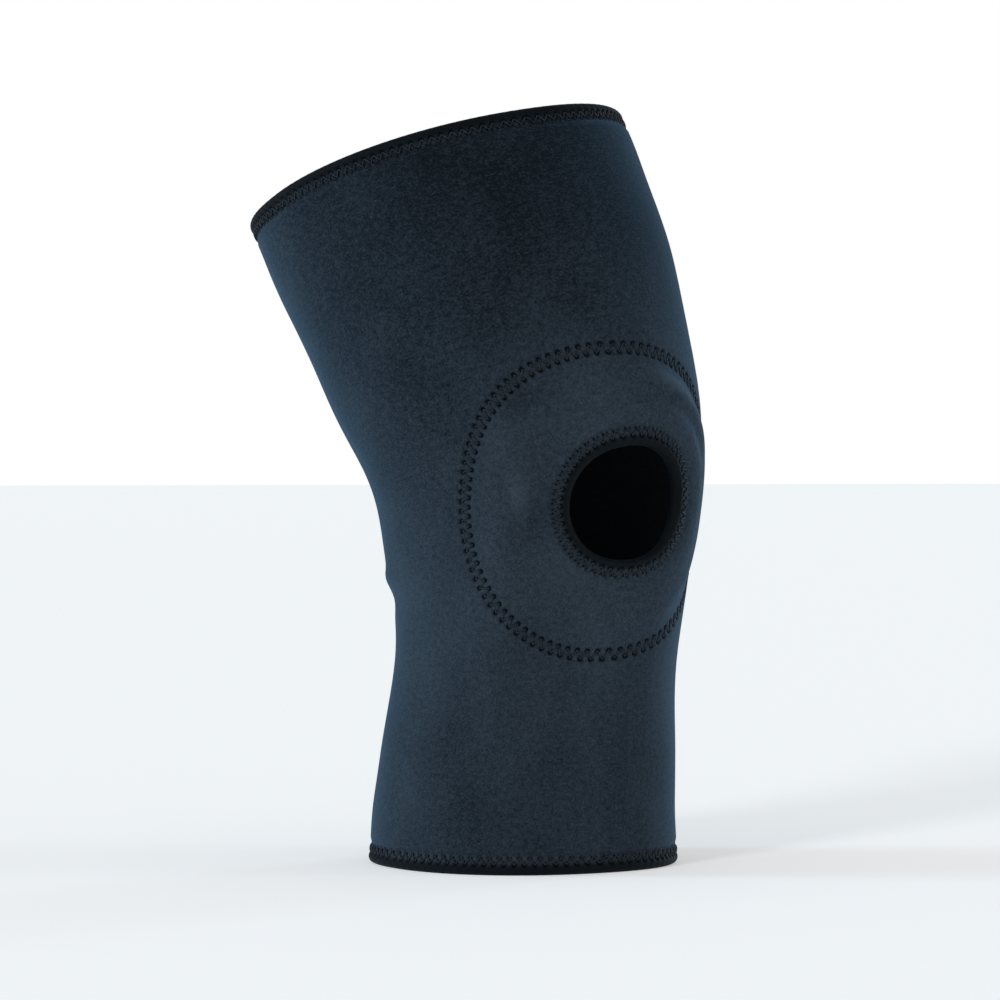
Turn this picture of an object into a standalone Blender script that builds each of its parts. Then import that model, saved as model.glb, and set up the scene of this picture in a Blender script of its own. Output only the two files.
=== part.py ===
"""Open-patella knee sleeve, as it sits on a slightly bent leg.

The sleeve is a tube of three bonded layers (jersey face, rubber foam, lining) that is sewn shut
down the back. A ring pad in a fabric pocket lies inside, around the opening for the kneecap, and
tape binds the opening and both hems. +Z is up, the front of the knee faces -Y, and the sleeve
stands on its calf hem. The layers are made in a calf, a knee and a thigh length, and everything on
the thigh length turns about the knee axis.
"""

import math
from functools import lru_cache

import bmesh
import bpy
from mathutils import Vector

MM = 0.001

# Shape of the leg that the sleeve follows, in millimetres and degrees.
SLEEVE_LENGTH = 266.0  # from hem to hem along the centre of the leg
STATION_STEP = 40.0  # the three lists below give one value every 40 mm up from the calf hem
HALF_WIDTHS = (56.0, 53.0, 50.0, 55.0, 61.0, 66.0, 69.0, 70.0)
HALF_DEPTHS = (56.0, 54.0, 53.0, 59.0, 66.0, 71.0, 73.0, 73.0)
DEPTH_SHIFTS = (10.0, 6.0, 0.0, -5.0, -10.0, -8.0, -2.0, 6.0)  # towards the back of the leg
SECTION_POWER = 2.2  # a section is a superellipse, a little squarer than an ellipse
BEND_START = 80.0
BEND_END = 200.0
REST_FLEXION = 17.5  # how far the thigh leans back from the calf at rest
OUTWARD_LEAN = 10.0  # how far the thigh leans out sideways, towards -X
THIGH_HEM_DIP = 3.0  # the thigh hem is cut this much lower at the front
BASE_CENTRE = Vector((16.5, -21.7, 0.0))  # puts the middle of the whole box over the origin
KNEE_AXIS = Vector((10.0, -10.0, 130.0))  # a point on the hinge, which runs along X

# The bonded layers, as depths below the outer face.
FACE_THICKNESS = 0.5
FOAM_THICKNESS = 2.4
LINING_THICKNESS = 0.5
GAP = 0.3
FOAM_TOP = -FACE_THICKNESS - GAP
LINING_TOP = FOAM_TOP - FOAM_THICKNESS - GAP
INNER_FACE = LINING_TOP - LINING_THICKNESS

# The lengths that the layers are made in, and how many rows of faces each one has.
CALF_TOP = 62.0
THIGH_BOTTOM = 196.0
CALF_ROWS = 3
KNEE_ROWS = 9
THIGH_ROWS = 4
FACETS = 36

# Tape and thread.
TAPE_THICKNESS = 0.8
TAPE_LEG = 7.4  # how far a hem tape reaches along the sleeve
THREAD_RADIUS = 0.35

# Each seam is one zigzag thread outside and one inside. A zigzag runs between two rows, which are
# given as distances from the hem's edge, or as radii round the opening.
HEM_ZIGZAG = (3.9, 6.4)
CALF_HEM_STITCHES = 90
THIGH_HEM_STITCHES = 114
BACK_ZIGZAG = 3.0  # how wide the zigzag over the back seam is
BACK_STITCH = 5.0  # how long each of its stitches is
BACK_TAPE_WIDTH = 12.0

# The opening for the kneecap and the ring pad around it: radii in the flat fabric, measured up and
# down. Around the leg the worn fabric is stretched.
OPENING_STATION = 127.0
OPENING_RADIUS = 20.8
OPENING_SHIFT = 4.0  # how far the opening lies from the middle of its ring, towards +X
SHIFT_RADII = (28.5, 50.0)  # between these radii the shift fades out
OPENING_TAPE_REACH = 7.4
OPENING_ZIGZAG = (24.1, 27.0)
OPENING_STITCHES = 48
PAD_INNER_RADIUS = 32.0
PAD_OUTER_RADIUS = 50.0
PAD_THICKNESS = 4.5
PAD_BEVEL = 1.5
RING_ZIGZAG = (53.8, 57.0)
RING_STITCHES = 98
POCKET_OUTER_RADIUS = 59.0
POCKET_THICKNESS = 0.6
STRETCH_AROUND = 1.1
RING_STEPS = 32
LOOSE_GAP = 0.9  # flat facets meet curved ones inside the ring, so its pieces stand further apart

# Colour, roughness and metallic value of each stuff.
JERSEY = ((0.020, 0.027, 0.038), 0.85, 0.0)
FOAM = ((0.012, 0.012, 0.013), 0.95, 0.0)
LINING = ((0.015, 0.017, 0.021), 0.90, 0.0)
TAPE = ((0.006, 0.007, 0.009), 0.60, 0.0)
THREAD = ((0.014, 0.017, 0.022), 0.55, 0.0)
FELT = ((0.040, 0.042, 0.046), 1.00, 0.0)


def station_value(values, along):
    """A smooth curve through values given every STATION_STEP, read at a distance up the leg."""
    last = len(values) - 1
    place = along / STATION_STEP
    low = min(max(int(math.floor(place)), 0), last - 1)
    part = place - low

    def slope(index):
        before = max(index - 1, 0)
        after = min(index + 1, last)
        return (values[after] - values[before]) / (after - before)

    start, end = values[low], values[low + 1]
    if part < 0.0:
        return start + part * slope(low)
    if part > 1.0:
        return end + (part - 1.0) * slope(low + 1)
    square = part * part
    cube = square * part
    return (
        (2 * cube - 3 * square + 1) * start
        + (cube - 2 * square + part) * slope(low)
        + (3 * square - 2 * cube) * end
        + (cube - square) * slope(low + 1)
    )


def bend_share(along):
    """How much of the knee's bend lies below this distance up the leg, from 0 to 1."""
    share = min(max((along - BEND_START) / (BEND_END - BEND_START), 0.0), 1.0)
    return share * share * (3.0 - 2.0 * share)


def leg_direction(along):
    share = bend_share(along)
    sideways = -math.tan(math.radians(OUTWARD_LEAN * share))
    backwards = math.tan(math.radians(REST_FLEXION * share))
    return Vector((sideways, backwards, 1.0)).normalized()


@lru_cache(maxsize=None)
def centre_at_step(step):
    """The centre of the leg after a whole number of millimetres."""
    if step <= 0:
        return Vector((0.0, 0.0, float(step)))
    return centre_at_step(step - 1) + leg_direction(step - 0.5)


def leg_centre(along):
    step = int(math.floor(along))
    return centre_at_step(step) + (along - step) * leg_direction(along)


def section_axes(along):
    """Unit vectors across the leg: to its side and to its back."""
    direction = leg_direction(along)
    back = Vector((0.0, 1.0, 0.0))
    back = (back - back.dot(direction) * direction).normalized()
    return back.cross(direction), back


def signed_power(value, power):
    return math.copysign(abs(value) ** power, value)


def face_point(turn, along):
    """A point of the sleeve's outer face. turn is 0 at the front and grows towards +X."""
    side, back = section_axes(along)
    power = 2.0 / SECTION_POWER
    across = station_value(HALF_WIDTHS, along) * signed_power(math.sin(turn), power)
    behind = -station_value(HALF_DEPTHS, along) * signed_power(math.cos(turn), power)
    behind += station_value(DEPTH_SHIFTS, along)
    return leg_centre(along) + across * side + behind * back


def outward(turn, along):
    """The outward direction square to the outline of the section, and lying in its plane."""
    step = 0.02
    around = face_point(turn + step, along) - face_point(turn - step, along)
    return around.cross(leg_direction(along)).normalized()


def sleeve_point(turn, along, height):
    """A point this height above the outer face, or below it if the height is negative."""
    return BASE_CENTRE + face_point(turn, along) + height * outward(turn, along)


def thigh_hem(turn):
    """How far up the leg the thigh hem's edge is, at this turn."""
    depth = HALF_DEPTHS[-1] * math.cos(turn)
    return SLEEVE_LENGTH - depth * math.tan(math.radians(THIGH_HEM_DIP))


def turns():
    return [math.tau * index / FACETS for index in range(FACETS)]


def mean_radius(along):
    return (station_value(HALF_WIDTHS, along) + station_value(HALF_DEPTHS, along)) / 2.0


def opening_shift(radius):
    low, high = SHIFT_RADII
    share = min(max((radius - low) / (high - low), 0.0), 1.0)
    return OPENING_SHIFT * (1.0 - share * share * (3.0 - 2.0 * share))


def ring_point(radius, angle, height):
    """A point around the kneecap: angle 0 is straight up, and the ring lies round the leg."""
    middle = face_point(0.0, OPENING_STATION)
    upward = (face_point(0.0, OPENING_STATION + 1.0) - middle).normalized()
    around = STRETCH_AROUND * radius * math.sin(angle) + opening_shift(radius)
    rise = radius * math.cos(angle)
    low, high = 0.0, SLEEVE_LENGTH
    for _ in range(40):
        along = (low + high) / 2.0
        point = face_point(around / mean_radius(along), along)
        if (point - middle).dot(upward) < rise:
            low = along
        else:
            high = along
    return sleeve_point(around / mean_radius(along), along, height)


def clear_scene():
    for obj in list(bpy.data.objects):
        bpy.data.objects.remove(obj, do_unlink=True)


def add_material(obj, finish):
    colour, roughness, metallic = finish
    material = bpy.data.materials.new(obj.name)
    material.use_nodes = True
    shader = material.node_tree.nodes["Principled BSDF"]
    shader.inputs["Base Color"].default_value = (*colour, 1.0)
    shader.inputs["Roughness"].default_value = roughness
    shader.inputs["Metallic"].default_value = metallic
    material.diffuse_color = (*colour, 1.0)
    obj.data.materials.append(material)


def add_object(name, mesh_shape, finish, knee=None):
    """Makes the object. One that turns with the thigh has its origin on the knee axis."""
    origin = KNEE_AXIS if knee else Vector((0.0, 0.0, 0.0))
    bmesh.ops.translate(mesh_shape, verts=mesh_shape.verts, vec=-origin)
    bmesh.ops.scale(mesh_shape, verts=mesh_shape.verts, vec=(MM, MM, MM))
    bmesh.ops.recalc_face_normals(mesh_shape, faces=mesh_shape.faces)
    mesh = bpy.data.meshes.new(name)
    mesh_shape.to_mesh(mesh)
    mesh_shape.free()
    mesh.shade_smooth()
    mesh.set_sharp_from_angle(angle=math.radians(40))
    obj = bpy.data.objects.new(name, mesh)
    bpy.context.collection.objects.link(obj)
    obj.parent = knee
    if finish:
        add_material(obj, finish)
    return obj


def swept_shape(loops, closed=True):
    """A solid whose outline is the same closed loop of points at each place along a path."""
    shape = bmesh.new()
    rows = [[shape.verts.new(point) for point in loop] for loop in loops]
    pairs = list(zip(rows, rows[1:]))
    if closed:
        pairs.append((rows[-1], rows[0]))
    else:
        shape.faces.new(rows[0])
        shape.faces.new(list(reversed(rows[-1])))
    for first, second in pairs:
        for index in range(len(first)):
            after = (index + 1) % len(first)
            shape.faces.new((first[index], second[index], second[after], first[after]))
    return shape


def layer(name, low_edge, high_edge, rows, top, thickness, finish, knee=None):
    """One bonded layer between two edges, each given as a distance up the leg at a turn."""
    loops = []
    for turn in turns():
        low, high = low_edge(turn), high_edge(turn)
        steps = [low + (high - low) * row / rows for row in range(rows + 1)]
        outside = [sleeve_point(turn, along, top) for along in steps]
        inside = [sleeve_point(turn, along, top - thickness) for along in reversed(steps)]
        loops.append(outside + inside)
    return add_object(name, swept_shape(loops), finish, knee)


def level(along):
    return lambda turn: along


def calf_edge(turn):
    return TAPE_THICKNESS + GAP


def thigh_edge(turn):
    return thigh_hem(turn) - TAPE_THICKNESS - GAP


def layers(part, low_edge, high_edge, rows, knee=None):
    """The three layers of one length of the sleeve."""
    parts = (
        ("face_fabric", 0.0, FACE_THICKNESS, JERSEY),
        ("foam_core", FOAM_TOP, FOAM_THICKNESS, FOAM),
        ("lining", LINING_TOP, LINING_THICKNESS, LINING),
    )
    return [
        layer(f"{part}_{name}", low_edge, high_edge, rows, top, thickness, finish, knee)
        for name, top, thickness, finish in parts
    ]


def hem_tape(name, hem_point, knee=None):
    """Tape folded over a hem: a leg outside, a flat fold and a leg inside."""
    outer = GAP + TAPE_THICKNESS
    inner = INNER_FACE - GAP - TAPE_THICKNESS
    corner = 0.5
    outline = (
        (0.0, outer - corner),
        (corner, outer),
        (TAPE_LEG, outer),
        (TAPE_LEG, GAP),
        (TAPE_THICKNESS, GAP),
        (TAPE_THICKNESS, INNER_FACE - GAP),
        (TAPE_LEG, INNER_FACE - GAP),
        (TAPE_LEG, inner),
        (corner, inner),
        (0.0, inner + corner),
    )
    loops = [[hem_point(turn, reach, height) for reach, height in outline] for turn in turns()]
    return add_object(name, swept_shape(loops), TAPE, knee)


def thread_outline(slant):
    """The four corners of a thread, as steps along the fabric and above it."""
    across = THREAD_RADIUS / math.cos(slant)
    return ((across, 0.0), (0.0, THREAD_RADIUS), (-across, 0.0), (0.0, -THREAD_RADIUS))


def zigzag(name, rows, stitches, pitch, seam_point, knee=None):
    """A closed zigzag thread. seam_point gives a point from a share of the round, a row, a rise."""
    slant = math.atan2(rows[1] - rows[0], pitch / 2.0)
    corners = 2 * stitches
    loops = []
    for corner in range(corners):
        row = rows[corner % 2]
        loops.append(
            [seam_point(corner / corners, row + step, rise) for step, rise in thread_outline(slant)]
        )
    return add_object(name, swept_shape(loops), THREAD, knee)


def calf_hem_point(turn, reach, height):
    return sleeve_point(turn, reach, height)


def thigh_hem_point(turn, reach, height):
    return sleeve_point(turn, thigh_hem(turn) - reach, height)


def hem_seam(name, hem_point, radius, stitches, knee=None):
    """The zigzag seam of a hem: one thread on the tape's outer leg and one on its inner leg."""
    lift = GAP + TAPE_THICKNESS + GAP + THREAD_RADIUS
    pitch = math.tau * radius / stitches
    for side, middle in (("outer", lift), ("inner", INNER_FACE - lift)):
        zigzag(
            f"{name}_zigzag_{side}_thread",
            HEM_ZIGZAG,
            stitches,
            pitch,
            lambda share, reach, rise: hem_point(math.tau * share, reach, middle + rise),
            knee,
        )


def hems(knee):
    hem_tape("calf_hem_binding", calf_hem_point)
    hem_tape("thigh_hem_binding", thigh_hem_point, knee)
    hem_seam("calf_hem", calf_hem_point, mean_radius(0.0), CALF_HEM_STITCHES)
    hem_seam("thigh_hem", thigh_hem_point, mean_radius(SLEEVE_LENGTH), THIGH_HEM_STITCHES, knee)


def back_seam_tape(part, steps, knee=None):
    """The tape glued inside the back seam."""
    top = INNER_FACE - LOOSE_GAP / 2.0
    loops = []
    for along in steps:
        spread = BACK_TAPE_WIDTH / 2.0 / mean_radius(along)
        corners = (
            (math.pi - spread, top),
            (math.pi + spread, top),
            (math.pi + spread, top - TAPE_THICKNESS),
            (math.pi - spread, top - TAPE_THICKNESS),
        )
        loops.append([sleeve_point(turn, along, height) for turn, height in corners])
    add_object(f"{part}_back_seam_tape", swept_shape(loops, closed=False), TAPE, knee)


def back_seam_thread(part, low, high, knee=None):
    """The zigzag thread that closes the back seam outside."""
    corners = 2 * round((high - low) / BACK_STITCH)
    slant = math.atan2(BACK_ZIGZAG, BACK_STITCH / 2.0)
    loops = []
    for corner in range(corners + 1):
        along = low + (high - low) * corner / corners
        row = BACK_ZIGZAG * (corner % 2 - 0.5)
        loops.append(
            [
                sleeve_point(
                    math.pi + (row + step) / mean_radius(along), along, GAP + THREAD_RADIUS + rise
                )
                for step, rise in thread_outline(slant)
            ]
        )
    add_object(f"{part}_back_seam_thread", swept_shape(loops, closed=False), THREAD, knee)


def back_seam(part, low, high, rows, knee=None):
    back_seam_tape(part, [low + (high - low) * row / rows for row in range(rows + 1)], knee)
    back_seam_thread(part, low + THREAD_RADIUS, high - THREAD_RADIUS, knee)


def ring_solid(name, outline, finish):
    """A solid ring round the kneecap, from its outline as radii and heights."""
    loops = []
    for index in range(RING_STEPS):
        angle = math.tau * index / RING_STEPS
        loops.append([ring_point(radius, angle, height) for radius, height in outline])
    return add_object(name, swept_shape(loops), finish)


def ring_seam(name, rows, stitches, outer_surface, inner_surface):
    """A zigzag seam round the kneecap: one thread outside and one inside."""
    radius = (rows[0] + rows[1]) / 2.0
    pitch = math.tau * radius / stitches
    lift = LOOSE_GAP / 2.0 + THREAD_RADIUS
    for side, middle in (("outer", outer_surface + lift), ("inner", inner_surface - lift)):
        zigzag(
            f"{name}_zigzag_{side}_thread",
            rows,
            stitches,
            pitch,
            lambda share, reach, rise: ring_point(reach, math.tau * share, middle + rise),
        )


def opening_cutter():
    """What is cut out of the layers for the kneecap. It isn't part of the sleeve."""
    radius = OPENING_RADIUS + TAPE_THICKNESS + GAP
    reach = 12.0
    rims = []
    for height in (reach, -reach):
        rims.append(
            [ring_point(radius, math.tau * index / RING_STEPS, height) for index in range(RING_STEPS)]
        )
    cutter = add_object("opening_cutter", swept_shape(rims, closed=False), None)
    cutter.hide_render = True
    cutter.display_type = "WIRE"
    return cutter


def cut_opening(obj, cutter):
    cut = obj.modifiers.new("opening", "BOOLEAN")
    cut.operation = "DIFFERENCE"
    cut.solver = "EXACT"
    cut.object = cutter


def pad_surfaces():
    """Heights of the pad's outer face, the pad's inner face and the pocket's inner face."""
    pad_top = INNER_FACE - LOOSE_GAP
    pad_bottom = pad_top - PAD_THICKNESS
    pocket_bottom = pad_bottom - LOOSE_GAP - POCKET_THICKNESS
    return pad_top, pad_bottom, pocket_bottom


def pocket_flange():
    """Heights of the two faces of the pocket where it lies flat on the lining."""
    top = INNER_FACE - LOOSE_GAP
    return top, top - POCKET_THICKNESS


def ring_pad():
    """The soft ring that steadies the kneecap."""
    top, bottom, _ = pad_surfaces()
    ring_solid(
        "patella_ring_pad",
        (
            (PAD_INNER_RADIUS, top),
            (PAD_OUTER_RADIUS, top),
            (PAD_OUTER_RADIUS, bottom + PAD_BEVEL),
            (PAD_OUTER_RADIUS - PAD_BEVEL, bottom),
            (PAD_INNER_RADIUS + PAD_BEVEL, bottom),
            (PAD_INNER_RADIUS, bottom + PAD_BEVEL),
        ),
        FELT,
    )


def ring_pocket():
    """The fabric over the inside of the pad, sewn to the sleeve inside and outside it."""
    flat_top, flat_bottom = pocket_flange()
    _, pad_bottom, bottom = pad_surfaces()
    top = pad_bottom - LOOSE_GAP
    rise = 1.0  # how far the pocket's walls stand from the pad
    inner_edge = OPENING_RADIUS + TAPE_THICKNESS + GAP
    wall = POCKET_THICKNESS
    ring_solid(
        "patella_ring_pocket",
        (
            (inner_edge, flat_top),
            (PAD_INNER_RADIUS - rise, flat_top),
            (PAD_INNER_RADIUS - rise, top + PAD_BEVEL),
            (PAD_INNER_RADIUS + PAD_BEVEL - rise, top),
            (PAD_OUTER_RADIUS - PAD_BEVEL + rise, top),
            (PAD_OUTER_RADIUS + rise, top + PAD_BEVEL),
            (PAD_OUTER_RADIUS + rise, flat_top),
            (POCKET_OUTER_RADIUS, flat_top),
            (POCKET_OUTER_RADIUS, flat_bottom),
            (PAD_OUTER_RADIUS + rise + wall, flat_bottom),
            (PAD_OUTER_RADIUS + rise + wall, bottom + PAD_BEVEL),
            (PAD_OUTER_RADIUS - PAD_BEVEL + rise + wall, bottom),
            (PAD_INNER_RADIUS + PAD_BEVEL - rise - wall, bottom),
            (PAD_INNER_RADIUS - rise - wall, bottom + PAD_BEVEL),
            (PAD_INNER_RADIUS - rise - wall, flat_bottom),
            (inner_edge, flat_bottom),
        ),
        LINING,
    )


def opening_tape():
    """Tape folded over the edge of the opening, through the layers and the pocket."""
    reach = OPENING_RADIUS + OPENING_TAPE_REACH
    edge = OPENING_RADIUS + TAPE_THICKNESS
    outer = GAP + TAPE_THICKNESS
    inner_leg = pocket_flange()[1] - GAP
    inner = inner_leg - TAPE_THICKNESS
    corner = 0.5
    ring_solid(
        "opening_binding",
        (
            (OPENING_RADIUS, outer - corner),
            (OPENING_RADIUS + corner, outer),
            (reach, outer),
            (reach, GAP),
            (edge, GAP),
            (edge, inner_leg),
            (reach, inner_leg),
            (reach, inner),
            (OPENING_RADIUS + corner, inner),
            (OPENING_RADIUS, inner + corner),
        ),
        TAPE,
    )
    ring_seam("opening", OPENING_ZIGZAG, OPENING_STITCHES, outer, inner)


def kneecap_parts():
    ring_pad()
    ring_pocket()
    ring_seam("ring", RING_ZIGZAG, RING_STITCHES, 0.0, pocket_flange()[1])
    opening_tape()


def knee_empty():
    """The empty that the thigh length hangs from, on the knee axis."""
    knee = bpy.data.objects.new("knee_axis", None)
    knee.location = KNEE_AXIS * MM
    bpy.context.collection.objects.link(knee)
    return knee


def build():
    clear_scene()
    knee = knee_empty()
    half_gap = GAP / 2.0
    layers("calf", calf_edge, level(CALF_TOP - half_gap), CALF_ROWS)
    middle = layers("knee", level(CALF_TOP + half_gap), level(THIGH_BOTTOM - half_gap), KNEE_ROWS)
    layers("thigh", level(THIGH_BOTTOM + half_gap), thigh_edge, THIGH_ROWS, knee)
    cutter = opening_cutter()
    for obj in middle:
        cut_opening(obj, cutter)
    kneecap_parts()
    hems(knee)
    calf_start = TAPE_LEG + GAP
    thigh_end = thigh_hem(math.pi) - TAPE_LEG - GAP
    back_seam("calf", calf_start, CALF_TOP - half_gap, CALF_ROWS)
    back_seam("knee", CALF_TOP + half_gap, THIGH_BOTTOM - half_gap, KNEE_ROWS)
    back_seam("thigh", THIGH_BOTTOM + half_gap, thigh_end, THIGH_ROWS, knee)


build()
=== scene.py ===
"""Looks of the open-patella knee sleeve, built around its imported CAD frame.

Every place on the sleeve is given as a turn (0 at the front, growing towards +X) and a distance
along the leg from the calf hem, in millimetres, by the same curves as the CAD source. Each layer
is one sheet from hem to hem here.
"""

import math

import bmesh
import bpy
import numpy as np
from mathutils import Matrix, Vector


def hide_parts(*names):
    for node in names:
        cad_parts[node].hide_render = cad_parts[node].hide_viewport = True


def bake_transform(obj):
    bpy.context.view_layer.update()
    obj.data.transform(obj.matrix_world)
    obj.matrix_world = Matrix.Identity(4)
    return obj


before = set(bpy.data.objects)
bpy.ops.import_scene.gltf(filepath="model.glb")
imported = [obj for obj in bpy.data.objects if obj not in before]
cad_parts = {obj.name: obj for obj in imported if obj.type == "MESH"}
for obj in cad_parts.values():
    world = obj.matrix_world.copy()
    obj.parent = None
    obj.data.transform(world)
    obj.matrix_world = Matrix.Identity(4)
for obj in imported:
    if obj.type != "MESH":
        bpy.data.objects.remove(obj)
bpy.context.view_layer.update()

MM = 0.001
TAU = 2.0 * math.pi
MAP_RADIUS = 60.0  # the turns of the fabric map are lengths round a sleeve of this radius

# Shape of the leg that the sleeve follows, as in the CAD source: millimetres and degrees.
SLEEVE_LENGTH = 266.0
STATION_STEP = 40.0
HALF_WIDTHS = np.array((56.0, 53.0, 50.0, 55.0, 61.0, 66.0, 69.0, 70.0))
HALF_DEPTHS = np.array((56.0, 54.0, 53.0, 59.0, 66.0, 71.0, 73.0, 73.0))
DEPTH_SHIFTS = np.array((10.0, 6.0, 0.0, -5.0, -10.0, -8.0, -2.0, 6.0))
SECTION_POWER = 2.2
BEND_START = 80.0
BEND_END = 200.0
REST_FLEXION = 17.5
OUTWARD_LEAN = 10.0
THIGH_HEM_DIP = 3.0
BASE_CENTRE = np.array((16.5, -21.7, 0.0))
OPENING_STATION = 127.0
STRETCH_AROUND = 1.1

# Layers: heights of their faces above the outer face of the sleeve, before any squeezing.
FACE_LAYER = (0.0, -0.6)
THINNEST_FACE = 0.25  # under the pits
FOAM_LAYER = (-0.65, -3.35)
LINING_LAYER = (-3.4, -4.0)
MIDDLE = -2.0
TAPE_GAP = 0.03
POCKET_GAP = 0.06
SQUEEZE = 0.4  # the share of its thickness that the laminate loses under a sewn tape
RING_SQUEEZE = 0.45  # how much of that it loses along the ring seam
SQUEEZE_REACH = (6.2, 9.6)  # between these distances from an edge the squeezing fades out
RING_SQUEEZE_WIDTH = 2.3

# Bindings and seams.
OPENING_RADIUS = 20.8
OPENING_SHIFT = 4.0  # how far the opening lies from the middle of its ring, towards +X
SHIFT_RADII = (28.5, 50.0)  # between these radii the shift fades out
TAPE_REACH = 7.4
TAPE_COLUMNS = 8  # columns of faces to a stitch
TAPE_THICKNESS = 0.7
TAPE_PILLOW = (0.22, 1.1, 1.7)  # height and width of its rise, and distance to the first row
TAPE_GROOVE = 0.2  # how far the stitching pulls it down
TAPE_WORN = 0.05
TAPE_TIP = (0.3, 1.4)  # how much thinner its cut edge is, and over what width
BACK_TAPE_CLEARANCE = 0.8
BACK_TAPE_HALF = 6.0
BACK_TAPE_BULGE = 0.12
BACK_TAPE_THICKNESS = 0.45
SHEET_INSET = 1.7  # how far inside a binding's fold the laminate ends
EDGE_RADIUS = OPENING_RADIUS + SHEET_INSET
HEM_ZIGZAG = (3.9, 6.4)
OPENING_ZIGZAG = (24.1, 27.0)
RING_ZIGZAG = (53.8, 57.0)
RING_SEAM_RADIUS = sum(RING_ZIGZAG) / 2.0
OPENING_SEAM_RADIUS = sum(OPENING_ZIGZAG) / 2.0
MEAN_STRETCH = (1.0 + STRETCH_AROUND) / 2.0
CALF_HEM_STITCHES = 90
THIGH_HEM_STITCHES = 114
OPENING_STITCHES = 48
RING_STITCHES = 98
BACK_ZIGZAG = 3.0
BACK_STITCH = 5.0
THREAD_RADIUS = 0.26
PIT_DEPTH = 0.6
PIT_RADIUS = 1.0
PIT_EDGE = 0.25
TAPE_PIT = 0.75  # pits in a tape and the dips of threads, as shares of PIT_DEPTH
THREAD_LIFT = 0.75 * THREAD_RADIUS
LEG_STEPS = np.array((0.0, 0.07, 0.18, 0.34, 0.5, 0.66, 0.82, 0.93))  # points of a zigzag leg
LEG_DIP = np.abs(2.0 * LEG_STEPS - 1.0) ** 5
BACK_DIP = 0.7
BACK_GROOVE = (0.45, 0.7)  # depth and half width
HEM_CLEARANCE = 1.0  # between a hem tape and the back seam thread

# Ring pad and its pocket.
PAD_RADII = (32.0, 50.0)
PAD_MIDDLE = sum(PAD_RADII) / 2.0
POCKET_OUTER_RADIUS = 59.0
PUFF = (0.9, 1.7)  # how far the pad pushes the sleeve out everywhere, and more at its right
PUFF_TOWARDS = 1.2  # radians from straight up, towards +X
PUFF_EDGE = (53.0, 43.0)
PUFF_INNER_EDGE = (25.0, 36.0)
PUFF_INNER_SHARE = 0.25  # how much of the puff is left at the opening
RIDGE = (46.5, 2.6, 0.7, 0.5)  # radius, half width, height, and how much painted light lies on it
# The hollow beside it: the same, with painted shade instead of painted light.
HOLLOW = (39.5, 3.6, -0.8, -0.22)
RIDGE_START = (0.15, 0.55)  # radians from straight up, towards +X
RIDGE_END = (1.5, 1.0)
PAD_DEPTH = 5.4
PAD_GAP = 0.1
PAD_CROWN = (0.28, 0.58)  # how far its faces lie from its middle, as shares of its depth
POCKET_THICKNESS = 0.5
POCKET_HALF = 11.3  # half the width of its bulge
POCKET_ROOM = 0.35
SWELL_PRESSURE = 400.0  # high, and the cloth soft, because the pad is only 18 mm wide
SWELL_STIFFNESS = 0.01
SWELL_FRAMES = 20
SWELL_CAP = 0.35  # the furthest that the simulation may move a point of the pad


def smoothstep(low, high, value):
    share = np.clip((value - low) / (high - low), 0.0, 1.0)
    return share * share * (3.0 - 2.0 * share)


def unit(vectors):
    return vectors / np.linalg.norm(vectors, axis=-1, keepdims=True)


def station_value(values, along):
    """A smooth curve through values given every STATION_STEP, read at distances up the leg."""
    last = len(values) - 1
    place = along / STATION_STEP
    low = np.clip(np.floor(place).astype(int), 0, last - 1)
    index = np.arange(last + 1)
    before, after = np.maximum(index - 1, 0), np.minimum(index + 1, last)
    slopes = (values[after] - values[before]) / (after - before)
    part = place - low
    inside = np.clip(part, 0.0, 1.0)
    square, cube = inside**2, inside**3
    curve = (
        (2 * cube - 3 * square + 1) * values[low]
        + (cube - 2 * square + inside) * slopes[low]
        + (3 * square - 2 * cube) * values[low + 1]
        + (cube - square) * slopes[low + 1]
    )
    return curve + np.minimum(part, 0.0) * slopes[low] + np.maximum(part - 1.0, 0.0) * slopes[low + 1]


def leg_direction(along):
    share = smoothstep(BEND_START, BEND_END, along)
    sideways = -np.tan(np.radians(OUTWARD_LEAN * share))
    backwards = np.tan(np.radians(REST_FLEXION * share))
    return unit(np.stack([sideways, backwards, np.ones_like(share)], -1))


STEPS = 300
CENTRES = np.vstack([np.zeros((1, 3)), np.cumsum(leg_direction(np.arange(STEPS) + 0.5), axis=0)])


def leg_centre(along):
    step = np.floor(along)
    centre = CENTRES[np.clip(step, 0, STEPS).astype(int)]
    centre = centre + np.minimum(step, 0.0)[..., None] * np.array((0.0, 0.0, 1.0))
    return centre + (along - step)[..., None] * leg_direction(along)


def signed_power(value, power):
    return np.sign(value) * np.abs(value) ** power


def face_point(turn, along):
    """Points of the sleeve's plain outer face, before relief."""
    direction = leg_direction(along)
    back = np.array((0.0, 1.0, 0.0))
    back = unit(back - direction[..., 1:2] * direction)
    side = np.cross(back, direction)
    power = 2.0 / SECTION_POWER
    across = station_value(HALF_WIDTHS, along) * signed_power(np.sin(turn), power)
    behind = -station_value(HALF_DEPTHS, along) * signed_power(np.cos(turn), power)
    behind = behind + station_value(DEPTH_SHIFTS, along)
    return leg_centre(along) + across[..., None] * side + behind[..., None] * back


def outward(turn, along):
    step = 0.02
    around = face_point(turn + step, along) - face_point(turn - step, along)
    return unit(np.cross(around, leg_direction(along)))


def mean_radius(along):
    return (station_value(HALF_WIDTHS, along) + station_value(HALF_DEPTHS, along)) / 2.0


def thigh_hem(turn):
    return SLEEVE_LENGTH - HALF_DEPTHS[-1] * np.cos(turn) * math.tan(math.radians(THIGH_HEM_DIP))


RING_MIDDLE = face_point(np.zeros(1), np.full(1, OPENING_STATION))[0]
RING_UP = unit(face_point(np.zeros(1), np.full(1, OPENING_STATION + 1.0))[0] - RING_MIDDLE)


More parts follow.
